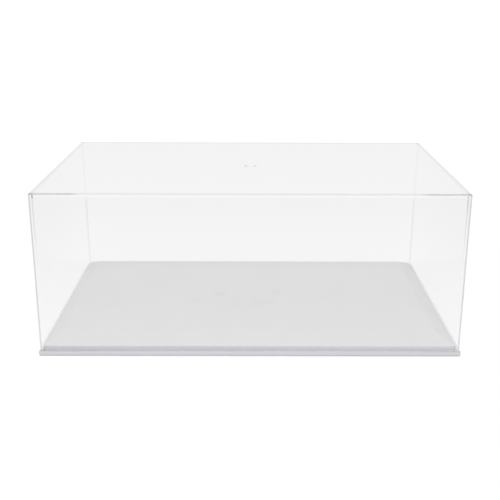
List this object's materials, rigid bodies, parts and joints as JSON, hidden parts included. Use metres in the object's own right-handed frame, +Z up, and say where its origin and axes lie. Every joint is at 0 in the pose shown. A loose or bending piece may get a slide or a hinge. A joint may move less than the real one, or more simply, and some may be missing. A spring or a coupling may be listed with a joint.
{
  "type": "display case",
  "caption": "Clear moulded cover that lifts off a light grey bevelled base with a hollow ribbed underside, to show a scale model and keep dust off it.",
  "frame": {"origin": "middle of the base's footprint, on the surface that the case stands on", "axes": "+X along the length, +Z up, and the front faces -Y"},
  "size_m": [0.3254, 0.165, 0.13],
  "materials": {
    "base_plastic": "light grey moulded plastic with a fine satin grain",
    "clear_plastic": "clear polished moulded plastic"
  },
  "bodies": {
    "base": {"base": "base_plastic"},
    "cover": {"clear_cover": "clear_plastic"}
  },
  "joints": [
    {"name": "cover_lift", "type": "slide", "parent": "base", "child": "cover", "axis": [0, 0, 1], "range_m": [0, 0.14]}
  ]
}
